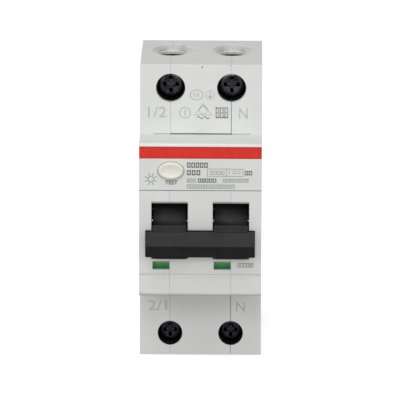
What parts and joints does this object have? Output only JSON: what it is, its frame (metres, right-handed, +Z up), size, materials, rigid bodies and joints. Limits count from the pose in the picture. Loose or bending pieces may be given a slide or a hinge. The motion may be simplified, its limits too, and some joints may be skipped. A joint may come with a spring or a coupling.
{
  "type": "residual current circuit breaker with overcurrent protection",
  "caption": "Two-module rail-mounted residual current breaker with tied toggles, test button, flags, clamp terminals and its switching mechanism",
  "frame": {"origin": "centre of the back face that rests on the rail, level with the middle of the rail", "axes": "+X to the right seen from the front, -Y out of the front, +Z up"},
  "size_m": [0.035, 0.069, 0.085],
  "materials": {
    "housing_grey": "fine-grained light grey thermoset",
    "band_red": "smooth red inlay",
    "toggle_black": "satin black moulding",
    "button_ivory": "smooth warm white",
    "rivet_steel": "zinc plated",
    "screw_zinc": "zinc plated, machined",
    "cage_zinc": "zinc plated, pressed",
    "copper": "bright rolled copper",
    "magnet_wire": "enamelled copper wire",
    "spring_steel": "drawn spring wire",
    "pin_steel": "ground steel",
    "bimetal": "rolled bimetal",
    "yoke_steel": "pressed sheet steel",
    "mechanism_plastic": "moulded glass-filled plastic",
    "bobbin_plastic": "natural moulded plastic",
    "chute_fibre": "pressed fibre board",
    "core_coating": "coated ring core",
    "wire_insulation": "insulated stranded wire",
    "relay_plastic": "moulded cover",
    "board_laminate": "solder mask on laminate",
    "component_black": "moulded packages",
    "resistor_body": "lacquered body",
    "flag_green": "green face with a red half",
    "clip_plastic": "black moulded clip"
  },
  "bodies": {
    "housing": {"left_case_shell": "housing_grey", "centre_frame": "housing_grey", "right_case_shell": "housing_grey", "front_cap": "housing_grey", "front_band": "band_red", "case_rivets": "rivet_steel", "terminal_plate_line_left": "copper", "terminal_plate_line_right": "copper", "terminal_plate_load_left": "copper", "terminal_plate_load_right": "copper", "toggle_pin": "pin_steel", "mechanism_pins": "pin_steel", "bimetal_strip": "bimetal", "calibrating_screw": "screw_zinc", "coil_bobbin": "bobbin_plastic", "coil_winding": "magnet_wire", "coil_yoke": "yoke_steel", "plunger_spring": "spring_steel", "arc_chute_plates": "yoke_steel", "arc_chute_cheeks": "chute_fibre", "transformer_core": "core_coating", "transformer_winding": "magnet_wire", "phase_conductor": "wire_insulation", "neutral_conductor": "wire_insulation", "trip_relay_case": "relay_plastic", "circuit_board": "board_laminate", "board_components": "component_black", "test_button_spring": "spring_steel", "test_bracket": "bobbin_plastic", "test_contact_blade": "spring_steel", "test_resistor": "resistor_body", "clip_spring_left": "spring_steel", "clip_spring_right": "spring_steel", "toggle_springs": "spring_steel"},
    "toggle_assembly": {"toggle_left": "toggle_black", "toggle_right": "toggle_black", "toggle_tie_bar": "toggle_black"},
    "trip_rocker": {"trip_lever": "mechanism_plastic"},
    "coil_core": {"coil_plunger": "pin_steel"},
    "relay_pin": {"relay_plunger": "pin_steel"},
    "push_button": {"test_button": "button_ivory"},
    "link_left": {"drive_link_left": "spring_steel"},
    "carrier_left": {"contact_carrier_left": "mechanism_plastic", "moving_contact_left": "copper"},
    "flag_left": {"indicator_flag_left": "flag_green"},
    "screw_line_left": {"terminal_screw_line_left": "screw_zinc"},
    "cage_line_left": {"clamp_cage_line_left": "cage_zinc"},
    "screw_load_left": {"terminal_screw_load_left": "screw_zinc"},
    "cage_load_left": {"clamp_cage_load_left": "cage_zinc"},
    "clip_left": {"rail_clip_left": "clip_plastic"},
    "link_right": {"drive_link_right": "spring_steel"},
    "carrier_right": {"contact_carrier_right": "mechanism_plastic", "moving_contact_right": "copper"},
    "flag_right": {"indicator_flag_right": "flag_green"},
    "screw_line_right": {"terminal_screw_line_right": "screw_zinc"},
    "cage_line_right": {"clamp_cage_line_right": "cage_zinc"},
    "screw_load_right": {"terminal_screw_load_right": "screw_zinc"},
    "cage_load_right": {"clamp_cage_load_right": "cage_zinc"},
    "clip_right": {"rail_clip_right": "clip_plastic"}
  },
  "joints": [
    {"name": "toggle_swing", "type": "hinge", "parent": "housing", "child": "toggle_assembly", "pos_m": [0, -0.0465, -0.0024], "axis": [-1, 0, 0], "range_deg": [0, 34]},
    {"name": "trip_lever_turn", "type": "hinge", "parent": "housing", "child": "trip_rocker", "pos_m": [-0.00875, -0.032, 0.011], "axis": [1, 0, 0], "range_deg": [0, 8], "stiffness_Nm_per_rad": 0.002},
    {"name": "coil_plunger_slide", "type": "slide", "parent": "housing", "child": "coil_core", "axis": [0, -1, 0], "range_m": [0, 0.002], "stiffness_N_per_m": 60, "deforming": ["plunger_spring"]},
    {"name": "relay_plunger_slide", "type": "slide", "parent": "housing", "child": "relay_pin", "axis": [0, 0, -1], "range_m": [0, 0.002], "stiffness_N_per_m": 60},
    {"name": "test_button_push", "type": "slide", "parent": "housing", "child": "push_button", "axis": [0, 1, 0], "range_m": [0, 0.0015], "stiffness_N_per_m": 150, "deforming": ["test_button_spring"]},
    {"name": "link_left_turn", "type": "hinge", "parent": "toggle_assembly", "child": "link_left", "pos_m": [-0.0147, -0.04142, -0.00003], "axis": [1, 0, 0], "range_deg": [-1, 40]},
    {"name": "carrier_left_turn", "type": "hinge", "parent": "housing", "child": "carrier_left", "pos_m": [-0.00875, -0.0282, -0.0085], "axis": [1, 0, 0], "range_deg": [-1, 23]},
    {"name": "flag_left_turn", "type": "hinge", "parent": "housing", "child": "flag_left", "pos_m": [-0.00875, -0.0506, -0.0133], "axis": [-1, 0, 0], "range_deg": [-1, 30]},
    {"name": "screw_line_left_turn", "type": "hinge", "parent": "housing", "child": "screw_line_left", "pos_m": [-0.00875, -0.035, 0.0356], "axis": [0, 1, 0], "range_deg": [-5, 3610]},
    {"name": "cage_line_left_slide", "type": "slide", "parent": "housing", "child": "cage_line_left", "axis": [0, -1, 0], "range_m": [0, 0.008]},
    {"name": "screw_load_left_turn", "type": "hinge", "parent": "housing", "child": "screw_load_left", "pos_m": [-0.00875, -0.035, -0.0362], "axis": [0, 1, 0], "range_deg": [-5, 3610]},
    {"name": "cage_load_left_slide", "type": "slide", "parent": "housing", "child": "cage_load_left", "axis": [0, -1, 0], "range_m": [0, 0.008]},
    {"name": "clip_left_slide", "type": "slide", "parent": "housing", "child": "clip_left", "axis": [0, 0, -1], "range_m": [0, 0.0035], "stiffness_N_per_m": 200, "springref_m": -0.001, "deforming": ["clip_spring_left"]},
    {"name": "link_right_turn", "type": "hinge", "parent": "toggle_assembly", "child": "link_right", "pos_m": [0.0028, -0.04142, -0.00003], "axis": [1, 0, 0], "range_deg": [-1, 40]},
    {"name": "carrier_right_turn", "type": "hinge", "parent": "housing", "child": "carrier_right", "pos_m": [0.00875, -0.0282, -0.0085], "axis": [1, 0, 0], "range_deg": [-1, 23]},
    {"name": "flag_right_turn", "type": "hinge", "parent": "housing", "child": "flag_right", "pos_m": [0.00875, -0.0506, -0.0133], "axis": [-1, 0, 0], "range_deg": [-1, 30]},
    {"name": "screw_line_right_turn", "type": "hinge", "parent": "housing", "child": "screw_line_right", "pos_m": [0.00875, -0.035, 0.0356], "axis": [0, 1, 0], "range_deg": [-5, 3610]},
    {"name": "cage_line_right_slide", "type": "slide", "parent": "housing", "child": "cage_line_right", "axis": [0, -1, 0], "range_m": [0, 0.008]},
    {"name": "screw_load_right_turn", "type": "hinge", "parent": "housing", "child": "screw_load_right", "pos_m": [0.00875, -0.035, -0.0362], "axis": [0, 1, 0], "range_deg": [-5, 3610]},
    {"name": "cage_load_right_slide", "type": "slide", "parent": "housing", "child": "cage_load_right", "axis": [0, -1, 0], "range_m": [0, 0.008]},
    {"name": "clip_right_slide", "type": "slide", "parent": "housing", "child": "clip_right", "axis": [0, 0, -1], "range_m": [0, 0.0035], "stiffness_N_per_m": 200, "springref_m": -0.001, "deforming": ["clip_spring_right"]}
  ],
  "couplings": [
    {"joint": "link_left_turn", "follows": "toggle_swing", "ratio": 1.1},
    {"joint": "carrier_left_turn", "follows": "toggle_swing", "ratio": 0.643},
    {"joint": "flag_left_turn", "follows": "toggle_swing", "ratio": 0.853},
    {"joint": "screw_line_left_turn", "follows": "cage_line_left_slide", "rad_per_m": 7854},
    {"joint": "screw_load_left_turn", "follows": "cage_load_left_slide", "rad_per_m": 7854},
    {"joint": "link_right_turn", "follows": "toggle_swing", "ratio": 1.1},
    {"joint": "carrier_right_turn", "follows": "toggle_swing", "ratio": 0.643},
    {"joint": "flag_right_turn", "follows": "toggle_swing", "ratio": 0.853},
    {"joint": "screw_line_right_turn", "follows": "cage_line_right_slide", "rad_per_m": 7854},
    {"joint": "screw_load_right_turn", "follows": "cage_load_right_slide", "rad_per_m": 7854}
  ]
}
